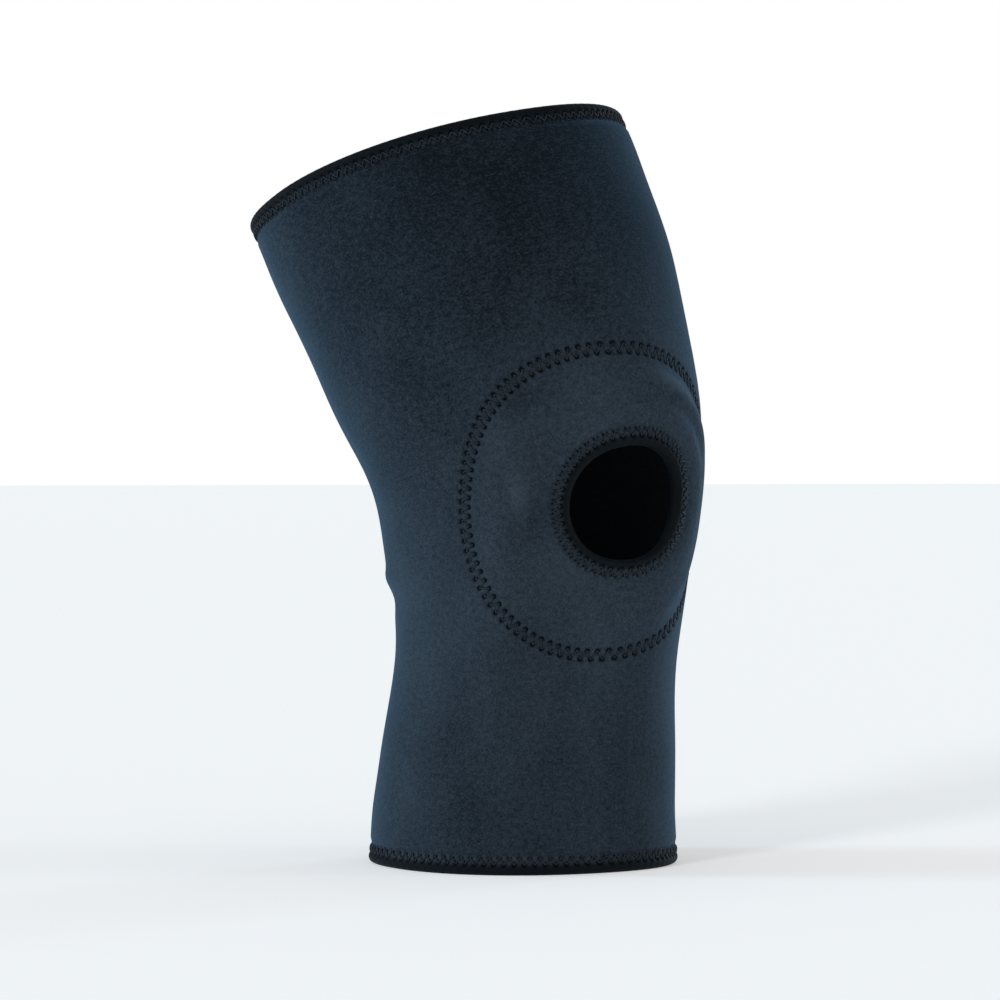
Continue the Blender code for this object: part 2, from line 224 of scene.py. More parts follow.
def rise_at(turn, along):
    return (face_point(turn, along) - RING_MIDDLE) @ RING_UP


def opening_shift(radius):
    return OPENING_SHIFT * (1.0 - smoothstep(*SHIFT_RADII, radius))


def ring_coordinates(turn, along):
    """Radius and angle round the middle of the opening, in the flat fabric. Behind, far away."""
    around = turn * mean_radius(along)
    rise = rise_at(turn, along)
    radius = np.hypot(around / STRETCH_AROUND, rise)
    for _ in range(8):
        flat = (around - opening_shift(radius)) / STRETCH_AROUND
        radius = np.hypot(flat, rise)
    return radius, np.arctan2(flat, rise)


def ring_place(radius, angle):
    """The turn and the distance along the leg of points given round the opening."""
    around = STRETCH_AROUND * radius * np.sin(angle) + opening_shift(radius)
    rise = radius * np.cos(angle)
    low, high = np.zeros_like(rise), np.full_like(rise, SLEEVE_LENGTH)
    for _ in range(26):
        along = (low + high) / 2.0
        under = rise_at(around / mean_radius(along), along) < rise
        low, high = np.where(under, along, low), np.where(under, high, along)
    return around / mean_radius(along), along


# Soft relief that every layer shares.
WAVES = np.random.default_rng(11)
WAVE_FADE = 25.0  # the waves fade out over this distance from a hem
WAVE_AROUND = WAVES.integers(1, 7, 14)
WAVE_ALONG = WAVES.uniform(-5.0, 5.0, 14)
WAVE_PHASE = WAVES.uniform(0.0, TAU, 14)
WAVE_SIZE = 0.3 / np.sqrt(1.0 + WAVE_AROUND**2 / 6.0 + WAVE_ALONG**2 / 6.0)


def waves(turn, along):
    """Slight unevenness of worn fabric."""
    total = np.zeros_like(turn)
    for around, climb, phase, size in zip(WAVE_AROUND, WAVE_ALONG, WAVE_PHASE, WAVE_SIZE):
        total += size * np.sin(around * turn + climb * TAU * along / SLEEVE_LENGTH + phase)
    near_calf_hem = smoothstep(0.0, WAVE_FADE, along)
    return total * near_calf_hem * smoothstep(0.0, WAVE_FADE, SLEEVE_LENGTH - along)


# Dents and bumps of the worn sleeve: turn, distance along, width, height and lean, how far it
# stands out, and how much painted light (above 0) or painted shade (below 0) lies on it.
DENTS = (
    (-0.65, 132.0, 3.4, 7.5, 0.0, 1.8, 0.42),
    (-0.55, 124.0, 7.5, 8.5, 0.2, -1.9, -0.22),
    (-0.70, 150.0, 7.0, 9.0, 0.0, 0.9, 0.08),
    (-0.52, 160.0, 9.0, 5.0, 0.8, -1.6, -0.2),
    (-2.06, 190.0, 2.6, 30.0, -0.15, -0.6, -0.12),
    (-2.05, 108.0, 16.0, 4.5, 0.0, 1.2, 0.08),
    (-2.05, 98.0, 18.0, 5.0, 0.0, -0.8, -0.08),
)


def dents(turn, along):
    """How far the dents and bumps stand out, and the painted light and painted shade on them."""
    out, tone_and_painted_light = np.zeros_like(turn), np.zeros_like(turn)
    for middle_turn, middle_along, wide, tall, lean, size, painted_light in DENTS:
        up = along - middle_along
        across = (turn - middle_turn) * mean_radius(along) - lean * up
        share = np.exp(-((across / wide) ** 2) - (up / tall) ** 2)
        out += size * share
        tone_and_painted_light += painted_light * share
    return out, tone_and_painted_light


def ridge(radius, angle):
    """The pad's edge showing through up and to the right: how far it stands out, and its painted
    highlight, with painted shade in the hollow beside it.
    """
    window = smoothstep(*RIDGE_START, angle) * smoothstep(*RIDGE_END, angle)
    out, tone_and_painted_light = np.zeros_like(radius), np.zeros_like(radius)
    for middle, wide, size, painted_light in (RIDGE, HOLLOW):
        share = window * np.exp(-(((radius - middle) / wide) ** 2))
        out += size * share
        tone_and_painted_light += painted_light * share
    return out, tone_and_painted_light


def relief(turn, along):
    """How far the sleeve stands out from its plain face, in every layer."""
    radius, angle = ring_coordinates(turn, along)
    sideways = 0.5 + 0.5 * np.cos(angle - PUFF_TOWARDS)
    puff = (PUFF[0] + PUFF[1] * sideways**2) * smoothstep(*PUFF_EDGE, radius)
    puff *= PUFF_INNER_SHARE + (1.0 - PUFF_INNER_SHARE) * smoothstep(*PUFF_INNER_EDGE, radius)
    return waves(turn, along) + puff + dents(turn, along)[0] + ridge(radius, angle)[0]


def edge_squeeze(distance):
    """1 where a binding squeezes the laminate, at distances from its edge."""
    return 1.0 - smoothstep(*SQUEEZE_REACH, distance)


def ring_squeeze(radius):
    seam = RING_SQUEEZE * np.exp(-(((radius - RING_SEAM_RADIUS) / RING_SQUEEZE_WIDTH) ** 2))
    return np.maximum(edge_squeeze(radius - OPENING_RADIUS), seam)


def squeeze(turn, along):
    """1 where a binding squeezes the laminate, and less along the ring seam."""
    radius, _ = ring_coordinates(turn, along)
    nearest = np.minimum(along, thigh_hem(turn) - along)
    return np.maximum(edge_squeeze(nearest), ring_squeeze(radius))


def squeezed(height, share):
    return MIDDLE + (height - MIDDLE) * (1.0 - SQUEEZE * share)


def sleeve_point(turn, along, height):
    """Points in metres, this far above the plain outer face with its relief."""
    lifted = (height + relief(turn, along))[..., None]
    return (BASE_CENTRE + face_point(turn, along) + lifted * outward(turn, along)) * MM


def layer_point(turn, along, height):
    return sleeve_point(turn, along, squeezed(height, squeeze(turn, along)))


def pit_pattern(across, share, rows, stitches, circumference):
    """0 to 1: how deep a place lies in the needle holes of a zigzag seam."""
    deepest = np.zeros_like(across)
    for row, shift in zip(rows, (0.0, 0.5)):
        step = share * stitches - shift
        away = (step - np.round(step)) * circumference / stitches
        near = np.hypot(across - row, away)
        deepest = np.maximum(deepest, smoothstep(PIT_RADIUS + PIT_EDGE, PIT_RADIUS - PIT_EDGE, near))
    return deepest


# Meshes.
def new_object(name, points, faces, places=None, material=None, smooth=True):
    """An object from points in metres. places are turn and along, for its fabric map."""
    mesh = bpy.data.meshes.new(name)
    mesh.from_pydata(np.asarray(points).tolist(), [], faces)
    if places is not None:
        add_fabric_map(mesh, *places)
    shape = bmesh.new()
    shape.from_mesh(mesh)
    bmesh.ops.recalc_face_normals(shape, faces=shape.faces)
    shape.to_mesh(mesh)
    shape.free()
    if smooth:
        mesh.shade_smooth()
    obj = bpy.data.objects.new(name, mesh)
    bpy.context.scene.collection.objects.link(obj)
    if material:
        mesh.materials.append(material)
    return obj


def add_fabric_map(mesh, across, along):
    """A UV map in millimetres. across is periodic where a face spans more than half of it."""
    corners = np.empty(len(mesh.loops), np.int32)
    mesh.loops.foreach_get("vertex_index", corners)
    starts = np.empty(len(mesh.polygons), np.int32)
    mesh.polygons.foreach_get("loop_start", starts)
    counts = np.empty(len(mesh.polygons), np.int32)
    mesh.polygons.foreach_get("loop_total", counts)
    period = TAU * MAP_RADIUS
    u = across[corners]
    highest = np.repeat(np.maximum.reduceat(u, starts), counts)
    u = np.where(highest - u > period / 2.0, u + period, u)
    layer = mesh.uv_layers.new(name="fabric")
    layer.data.foreach_set("uv", np.stack([u, along[corners]], -1).astype(np.float32).ravel())


def add_values(obj, name, values):
    attribute = obj.data.attributes.new(name, "FLOAT", "POINT")
    attribute.data.foreach_set("value", np.asarray(values, np.float32))


class Sheet:
    """An open sheet of places on the sleeve, with the loops of its edges."""

    def __init__(self):
        self.turn = np.zeros(0)
        self.along = np.zeros(0)
        self.faces = []
        self.edges = []

    def add(self, turn, along):
        first = len(self.turn)
        self.turn = np.concatenate([self.turn, np.ravel(turn)])
        self.along = np.concatenate([self.along, np.ravel(along)])
        return np.arange(first, len(self.turn)).reshape(np.shape(turn))

    def band(self, first, second):
        """Quads between two closed loops of as many points."""
        after_first, after_second = np.roll(first, -1), np.roll(second, -1)
        self.faces += np.stack([first, second, after_second, after_first], -1).tolist()

    def fan(self, few, many):
        """Faces between a closed loop and one with three times as many points."""
        a, b = few, np.roll(few, -1)
        m0, m1, m2, m3 = many[0::3], many[1::3], many[2::3], np.roll(many[0::3], -1)
        self.faces += np.stack([a, m0, m1], -1).tolist()
        self.faces += np.stack([a, m1, m2, b], -1).tolist()
        self.faces += np.stack([b, m2, m3], -1).tolist()


COLUMNS = 160
HOLE_COLUMNS = 64  # the square that the rings of faces round the opening fill
HOLE_BOTTOM = 58.0
ROW_HEIGHT = 2.2
RIM_RADIUS = 61.5  # the outermost ring of faces
FAN_RADII = (60.3, 50.6)  # rings next to the fine ones, which have three times as many points
FINE_RADII = np.linspace(59.0, 51.8, 17)
SLANT_ROWS = (195.0, 252.0)  # between these rows the thigh hem's slant grows


def sheet_turns():
    """Turns of the columns: even, and closer together beside the back seam."""
    even = np.arange(-COLUMNS // 2, COLUMNS // 2) * TAU / COLUMNS
    close = np.array((0.5, 1.0, 1.6)) / 62.0
    return np.sort(np.concatenate([even, -math.pi + close, math.pi - close]))


def sheet_rows():
    """Nominal distances of the rows, closer together beside the hems."""
    close = np.array((SHEET_INSET, 3.2, 5.0, 6.2, 7.2, 8.2, 9.4, 11.0))
    low, high = close[-1], SLEEVE_LENGTH - close[-1]
    count = int(round((high - low) / ROW_HEIGHT))
    even = np.linspace(low, high, count + 1)[1:-1]
    return np.concatenate([close, even, SLEEVE_LENGTH - close[::-1]])


def row_along(nominal, turn):
    """Rows follow the thigh hem's slant near it."""
    return nominal + (thigh_hem(turn) - SLEEVE_LENGTH) * smoothstep(*SLANT_ROWS, nominal)


def sleeve_sheet(fine):
    """The whole sleeve as one sheet with its opening. A fine one can carry the ring seam's pits."""
    sheet = Sheet()
    turns, rows = sheet_turns(), sheet_rows()
    turn_grid, row_grid = np.meshgrid(turns, rows)
    middle = int(np.argmin(np.abs(turns)))
    left, right = middle - HOLE_COLUMNS // 2, middle + HOLE_COLUMNS // 2
    bottom = int(np.argmin(np.abs(rows - HOLE_BOTTOM)))
    top = bottom + HOLE_COLUMNS
    kept = np.ones(turn_grid.shape, bool)
    kept[bottom + 1 : top, left + 1 : right] = False
    index = np.full(turn_grid.shape, -1)
    index[kept] = sheet.add(turn_grid[kept], row_along(row_grid[kept], turn_grid[kept]))
    for row in range(len(rows) - 1):
        low, high = index[row], index[row + 1]
        quads = np.stack([low, np.roll(low, -1), np.roll(high, -1), high], -1)
        if bottom <= row < top:
            quads = np.concatenate([quads[:left], quads[right:]])
        sheet.faces += quads.tolist()
    sheet.edges += [index[0], index[-1]]
    frame_loop = np.concatenate(
        [
            index[top, middle:right],
            index[bottom + 1 : top + 1, right][::-1],
            index[bottom, left + 1 : right + 1][::-1],
            index[bottom:top, left],
            index[top, left:middle],
        ]
    )
    count = len(frame_loop)
    angles = TAU * np.arange(count) / count
    rim_turn, rim_along = ring_place(np.full(count, RIM_RADIUS), angles)
    frame_turn, frame_along = sheet.turn[frame_loop], sheet.along[frame_loop]
    loop = frame_loop
    for share in np.linspace(0.0, 1.0, 9)[1:]:
        after = sheet.add(
            frame_turn + (rim_turn - frame_turn) * share,
            frame_along + (rim_along - frame_along) * share,
        )
        sheet.band(loop, after)
        loop = after
    if fine:
        loop = polar_loops(sheet, loop, FAN_RADII[:1], count)
        fine_angles = TAU * np.arange(3 * count) / (3 * count)
        many = sheet.add(*ring_place(np.full(3 * count, FINE_RADII[0]), fine_angles))
        sheet.fan(loop, many)
        many = polar_loops(sheet, many, FINE_RADII[1:], 3 * count)
        loop = sheet.add(*ring_place(np.full(count, FAN_RADII[1]), angles))
        sheet.fan(loop, many)
        coarse = np.linspace(49.0, EDGE_RADIUS, 17)
    else:
        coarse = np.linspace(59.5, EDGE_RADIUS, 22)
    loop = polar_loops(sheet, loop, coarse, count)
    sheet.edges.append(loop)
    return sheet


def polar_loops(sheet, loop, radii, count):
    """Closed loops inwards round the opening, joined to the loop before. Returns the last."""
    angles = TAU * np.arange(count) / count
    for radius in radii:
        after = sheet.add(*ring_place(np.full(count, radius), angles))
        sheet.band(loop, after)
        loop = after
    return loop


def solid_sheet(name, sheet, top, bottom, material):
    """A closed solid between two faces, given as heights at each place of a sheet."""
    turn, along = sheet.turn, sheet.along
    points = np.concatenate([layer_point(turn, along, top), layer_point(turn, along, bottom)])
    count = len(turn)
    faces = list(sheet.faces)
    faces += [[corner + count for corner in reversed(face)] for face in sheet.faces]
    for loop in sheet.edges:
        after = np.roll(loop, -1)
        faces += np.stack([loop, after, after + count, loop + count], -1).tolist()
    places = (np.tile(turn * MAP_RADIUS, 2), np.tile(along, 2))
    return new_object(name, points, faces, places, material)


def face_sheet(material):
    """The outer fabric, with the pits of the ring seam and the groove of the back seam."""
    sheet = sleeve_sheet(fine=True)
    turn, along = sheet.turn, sheet.along
    radius, angle = ring_coordinates(turn, along)
    circumference = TAU * RING_SEAM_RADIUS * MEAN_STRETCH
    pits = pit_pattern(radius, angle / TAU, RING_ZIGZAG, RING_STITCHES, circumference)
    from_seam = (math.pi - np.abs(turn)) * mean_radius(along)
    groove = np.exp(-((from_seam / BACK_GROOVE[1]) ** 2))
    top = FACE_LAYER[0] - PIT_DEPTH * pits - BACK_GROOVE[0] * groove
    bottom = np.minimum(FACE_LAYER[1], top - THINNEST_FACE)
    obj = solid_sheet("sleeve_face_fabric", sheet, top, bottom, material)
    # Painted shade in the needle holes and in the back seam's groove.
    add_values(obj, "seam_shade", np.tile(np.maximum(pits, groove), 2))
    # Stretch tone with painted light and shade.
    add_values(obj, "tone_and_painted_light", np.tile(stretch_tone_and_painted_light(turn, along), 2))
    return obj


def stretch_tone_and_painted_light(turn, along):
    """Paler where the knit is stretched most, round the kneecap, then the calf, which is partly painted
    light too; painted shade on the inner thigh, painted light on the inner calf and the flank towards
    -X, and the painted light and shade of the dents and the pad's ridge.
    """
    radius, angle = ring_coordinates(turn, along)
    ring = smoothstep(74.0, 36.0, radius)
    front = smoothstep(120.0, 60.0, radius)
    inner_thigh_painted_shade = smoothstep(-0.2, 0.8, turn) * smoothstep(2.2, 1.2, turn)
    inner_thigh_painted_shade *= smoothstep(140.0, 235.0, along)
    calf = smoothstep(150.0, 95.0, along) * (1.0 - ring)
    inner_calf_painted_light = smoothstep(0.25, 0.9, turn) * smoothstep(110.0, 70.0, along)
    flank_painted_light = smoothstep(-1.0, -1.7, turn)
    # calf, front and ring: paler, partly stretched knit and partly painted light; the other terms are
    # painted shade and painted light.
    total = 0.25 * calf + 0.16 * front + 0.33 * ring - 0.15 * inner_thigh_painted_shade - 0.37
    total += 0.18 * inner_calf_painted_light + 0.16 * flank_painted_light
    return total + dents(turn, along)[1] + ridge(radius, angle)[1]


def plain_sheet(name, layer, material):
    sheet = sleeve_sheet(fine=False)
    level = np.ones_like(sheet.turn)
    return solid_sheet(name, sheet, layer[0] * level, layer[1] * level, material)


# Bindings: tape folded over an edge.
def tape_profile(inner_face, reach):
    """The closed outline of a folded tape as distances from the fold and heights, outer leg first.

    inner_face is the height of the stack's squeezed inner face, which the inner leg lies on.
    """
    half = TAPE_THICKNESS / 2.0
    outer_line = squeezed(0.0, 1.0) + TAPE_GAP + half
    inner_line = inner_face - TAPE_GAP - half
    middle = (outer_line + inner_line) / 2.0
    bend = (outer_line - inner_line) / 2.0
    centre = bend + half
    legs = np.linspace(reach, centre, 15)
    tips = np.linspace(0.0, math.pi, 11)[1:-1]
    outside = [(x, outer_line + half) for x in legs]
    outside += [
        (centre - (bend + half) * math.sin(t), middle + (bend + half) * math.cos(t)) for t in tips
    ]
    outside += [(x, inner_line - half) for x in legs[::-1]]
    inside = [(x, inner_line + half) for x in legs[::3]]
    inside += [
        (centre - (bend - half) * math.sin(t), middle - (bend - half) * math.cos(t)) for t in tips[::2]
    ]
    inside += [(x, outer_line - half) for x in legs[::-3]]
    return np.array(outside + inside), len(outside)


def binding(name, place_at, stitches, zigzag, reach, inner_face, circumference, material):
    """Tape folded over an edge. place_at gives turn and along from a distance and a share."""
    profile, outer_count = tape_profile(inner_face, reach)
    columns = TAPE_COLUMNS * stitches
    share = np.arange(columns) / columns
    distance, share_grid = np.meshgrid(profile[:, 0], share)
    height = np.tile(profile[:, 1], (columns, 1))
    turn, along = place_at(distance, share_grid)
    pits = pit_pattern(distance, share_grid, zigzag, stitches, circumference)
    facing = np.where(np.arange(len(profile)) < outer_count, 1.0, 0.0)
    side = np.where(profile[:, 1] > MIDDLE, 1.0, -1.0)
    pits = pits * facing
    rise, wide, before = TAPE_PILLOW
    pillow = rise * np.exp(-(((distance - zigzag[0] + before) / wide) ** 2)) * facing
    groove = TAPE_GROOVE * smoothstep(zigzag[0] - 0.9, zigzag[0] + 0.4, distance) * facing
    worn = TAPE_WORN * np.sin(TAU * share_grid * stitches) * facing
    tip = TAPE_TIP[0] * smoothstep(reach - TAPE_TIP[1], reach, distance) * facing
    height = height + side * (pillow + worn - groove - tip - TAPE_PIT * PIT_DEPTH * pits)
    points = sleeve_point(turn, along, height).reshape(-1, 3)
    index = np.arange(columns * len(profile)).reshape(columns, len(profile))
    after = np.roll(index, -1, axis=0)
    faces = np.stack(
        [index, after, np.roll(after, -1, axis=1), np.roll(index, -1, axis=1)], -1
    ).reshape(-1, 4)
    lengths = np.concatenate([[0.0], np.cumsum(np.linalg.norm(np.diff(profile, axis=0), axis=1))])
    places = ((share_grid * TAU * MAP_RADIUS).ravel(), np.tile(lengths, columns))
    obj = new_object(name, points, faces.tolist(), places, material)
    # Painted shade in the needle holes of the tape.
    add_values(obj, "seam_shade", pits.ravel())
    sewn = smoothstep(zigzag[0] - 1.2, zigzag[0] + 1.2, distance) * facing
    add_values(obj, "sewn", sewn.ravel())
    # Stretch tone with painted light and shade, for the sewn strip's colour.
    add_values(obj, "tone_and_painted_light", stretch_tone_and_painted_light(turn, along).ravel())
    return obj


def calf_place(distance, share):
    return share * TAU, distance


def thigh_place(distance, share):
    turn = share * TAU
    return turn, thigh_hem(turn) - distance


def opening_place(distance, share):
    return ring_place(OPENING_RADIUS + distance, share * TAU)


def ring_seam_place(distance, share):
    return ring_place(distance, share * TAU)


# Threads.
def zigzag_path(place_at, rows, stitches, surface, side):
    """Points of a zigzag thread that dips into the needle holes. side is 1 outside, -1 inside."""
    legs = np.arange(2 * stitches)[:, None]
    share = ((legs + LEG_STEPS) / (2 * stitches)).ravel()
    start = np.where(legs % 2 == 0, rows[0], rows[1])
    end = np.where(legs % 2 == 0, rows[1], rows[0])
    reach = (start + (end - start) * LEG_STEPS).ravel()
    dip = (TAPE_PIT * PIT_DEPTH + THREAD_LIFT) * LEG_DIP
    height = surface + side * np.tile(THREAD_LIFT - dip, 2 * stitches)
    turn, along = place_at(reach, share)
    return turn, along, height


def thread_mesh(name, turn, along, height, material, closed=True, sides=6):
    """A round thread through places on the sleeve."""
    path = sleeve_point(turn, along, height)
    normal = outward(turn, along)
    if closed:
        ahead = unit(np.roll(path, -1, axis=0) - np.roll(path, 1, axis=0))
    else:
        ahead = unit(np.gradient(path, axis=0))
    side = unit(np.cross(ahead, normal))
    up = unit(np.cross(side, ahead))
    angles = TAU * np.arange(sides) / sides
    ring = (
        side[:, None, :] * np.cos(angles)[None, :, None]
        + up[:, None, :] * np.sin(angles)[None, :, None]
    )
    points = (path[:, None, :] + ring * THREAD_RADIUS * MM).reshape(-1, 3)
    count = len(path)
    index = np.arange(count * sides).reshape(count, sides)
    after = np.roll(index, -1, axis=0)
    quads = np.stack([index, after, np.roll(after, -1, axis=1), np.roll(index, -1, axis=1)], -1)
    if not closed:
        quads = quads[:-1]
    faces = quads.reshape(-1, 4).tolist()
    if not closed:
        faces += [index[0].tolist(), index[-1][::-1].tolist()]
    lengths = np.concatenate([[0.0], np.cumsum(np.linalg.norm(np.diff(path, axis=0), axis=1))]) / MM
    across = np.tile(angles / TAU, count)
    return new_object(name, points, faces, (across, np.repeat(lengths, sides)), material)


def seam_thread(name, place_at, rows, stitches, surface, side, material):
    turn, along, height = zigzag_path(place_at, rows, stitches, surface, side)
    return thread_mesh(name, turn, along, height, material)


def back_ends(clearance):
    """The distances up the leg between which something at the back clears both hem tapes."""
    reach = TAPE_REACH + clearance
    return reach, float(thigh_hem(np.array(math.pi))) - reach


def back_thread(material):
    """The zigzag over the back seam, from hem tape to hem tape."""
    low, high = back_ends(HEM_CLEARANCE)
    stitches = int(round((high - low) / BACK_STITCH))
    legs = np.arange(2 * stitches)[:, None]
    along = (low + (high - low) * (legs + LEG_STEPS) / (2 * stitches)).ravel()
    sideways = np.where(legs % 2 == 0, 1.0, -1.0) * BACK_ZIGZAG * (0.5 - LEG_STEPS)
    turn = math.pi + sideways.ravel() / mean_radius(along)
    dip = np.tile(BACK_DIP * LEG_DIP, 2 * stitches)
    height = squeezed(0.0, squeeze(turn - TAU, along)) + THREAD_LIFT - dip
    return thread_mesh("back_seam_zigzag_thread", turn - TAU, along, height, material, closed=False)


# Inside: seam tape, pad and pocket.
def back_tape(material):
    """Tape glued over the inside of the back seam."""
    along = np.linspace(*back_ends(BACK_TAPE_CLEARANCE), 120)
    across = np.linspace(-BACK_TAPE_HALF, BACK_TAPE_HALF, 13)
    along_grid, across_grid = np.meshgrid(along, across, indexing="ij")
    turn = -math.pi + across_grid / mean_radius(along_grid)
    bulge = BACK_TAPE_BULGE * np.cos(across_grid / BACK_TAPE_HALF * math.pi / 2.0)
    squeeze_share = squeeze(turn, along_grid)
    top = squeezed(LINING_LAYER[1], squeeze_share) - TAPE_GAP
    bottom = top - BACK_TAPE_THICKNESS - bulge
    points = np.concatenate(
        [
            sleeve_point(turn, along_grid, top).reshape(-1, 3),
            sleeve_point(turn, along_grid, bottom).reshape(-1, 3),
        ]
    )
    index = np.arange(turn.size).reshape(turn.shape)
    quads = np.stack([index[:-1, :-1], index[1:, :-1], index[1:, 1:], index[:-1, 1:]], -1)
    quads = quads.reshape(-1, 4)
    faces = quads.tolist() + (quads[:, ::-1] + turn.size).tolist()
    rim = np.concatenate([index[:, 0], index[-1, 1:], index[::-1, -1][1:], index[0, ::-1][1:-1]])
    after = np.roll(rim, -1)
    faces += np.stack([rim, after, after + turn.size, rim + turn.size], -1).tolist()
    places = (np.tile(across_grid.ravel(), 2), np.tile(along_grid.ravel(), 2))
    return new_object("back_seam_tape", points, faces, places, material)


def ring_layer(name, radii, top, bottom, columns, material):
    """A closed ring round the opening between two faces, given as heights at each radius."""
    angles = np.arange(columns) / columns
    radius, share = np.meshgrid(radii, angles)
    turn, along = ring_place(radius, share * TAU)
    high = np.tile(top, (columns, 1))
    low = np.tile(bottom, (columns, 1))
    points = np.concatenate(
        [
            sleeve_point(turn, along, high).reshape(-1, 3),
            sleeve_point(turn, along, low).reshape(-1, 3),
        ]
    )
    index = np.arange(turn.size).reshape(turn.shape)
    after = np.roll(index, -1, axis=0)
    quads = np.stack([index[:, :-1], after[:, :-1], after[:, 1:], index[:, 1:]], -1).reshape(-1, 4)
    faces = quads.tolist() + (quads[:, ::-1] + turn.size).tolist()
    for edge in (0, -1):
        faces += np.stack(
            [index[:, edge], after[:, edge], after[:, edge] + turn.size, index[:, edge] + turn.size],
            -1,
        ).tolist()
    places = (np.tile((turn * MAP_RADIUS).ravel(), 2), np.tile(along.ravel(), 2))
    return new_object(name, points, faces, places, material)


def pad_profile(radii):
    """Depth of the pad below the lining at each radius: crowned, with round edges."""
    share = np.clip(np.abs(radii - PAD_MIDDLE) / (PAD_RADII[1] - PAD_MIDDLE), 0.0, 1.0)
    return (1.0 - share**3.2) ** (1.0 / 2.2)


def ring_pad(material):
    radii = np.concatenate(
        [
            np.linspace(PAD_RADII[0], PAD_RADII[0] + 2.0, 6),
            np.linspace(PAD_RADII[0] + 3.5, PAD_RADII[1] - 3.5, 9),
            np.linspace(PAD_RADII[1] - 2.0, PAD_RADII[1], 6),
        ]
    )
    shape = pad_profile(radii)
    middle = LINING_LAYER[1] - PAD_GAP - 0.35 * PAD_DEPTH
    top = middle + PAD_CROWN[0] * PAD_DEPTH * shape
    bottom = middle - PAD_CROWN[1] * PAD_DEPTH * shape
    pad = ring_layer("kneecap_ring_pad", radii, top, bottom, 160, material)
    swell(pad)
    return pad


def swell(obj):
    """Rounds a closed pad by a short cloth simulation, in which no point moves far."""
    scene = bpy.context.scene
    cloth = obj.modifiers.new("swell", "CLOTH")
    settings = cloth.settings
    settings.use_pressure = True
    settings.uniform_pressure_force = SWELL_PRESSURE
    settings.tension_stiffness = settings.compression_stiffness = SWELL_STIFFNESS
    settings.shear_stiffness = SWELL_STIFFNESS
    settings.bending_stiffness = SWELL_STIFFNESS / 10.0
    settings.effector_weights.gravity = 0.0
    cloth.point_cache.frame_start, cloth.point_cache.frame_end = 1, SWELL_FRAMES
    for step in range(1, SWELL_FRAMES + 1):
        scene.frame_set(step)
    swollen = obj.evaluated_get(bpy.context.evaluated_depsgraph_get()).data
    before, after = (np.empty(3 * len(mesh.vertices), np.float32) for mesh in (obj.data, swollen))
    obj.data.vertices.foreach_get("co", before)
    swollen.vertices.foreach_get("co", after)
    move = (after - before).reshape(-1, 3)
    length = np.maximum(np.linalg.norm(move, axis=1, keepdims=True), 1e-9)
    move *= np.minimum(1.0, SWELL_CAP * MM / length)
    obj.modifiers.remove(cloth)
    obj.data.vertices.foreach_set("co", before + move.ravel())
    obj.data.update()
    scene.frame_set(1)


def ring_pocket(material):
    """The fabric over the inside of the pad, drawn tight over it."""
    radii = np.concatenate(
        [
            np.linspace(EDGE_RADIUS, PAD_RADII[0] - 2.0, 7),
            np.linspace(PAD_RADII[0] - 1.0, PAD_RADII[1] + 1.0, 21),
            np.linspace(PAD_RADII[1] + 2.0, POCKET_OUTER_RADIUS, 8),
        ]
    )
    over = np.exp(-((np.abs(radii - PAD_MIDDLE) / POCKET_HALF) ** 4.5))
    flange = squeezed(LINING_LAYER[1], ring_squeeze(radii)) - POCKET_GAP
    top = flange - (PAD_DEPTH + POCKET_ROOM) * over
    return ring_layer("kneecap_ring_pocket", radii, top, top - POCKET_THICKNESS, 192, material)


# Materials.
DARK_JERSEY = (0.0034, 0.0058, 0.0088)
LIGHT_JERSEY = (0.0315, 0.0455, 0.0615)
JERSEY_SHEEN = (0.24, 0.60, 1.0, 1.0)
TAPE_SHEEN = (0.45, 0.75, 1.0, 1.0)
SHEEN_ROUGHNESS = 0.36
PIT_SHADE = (0.0005, 0.0007, 0.001, 1.0)


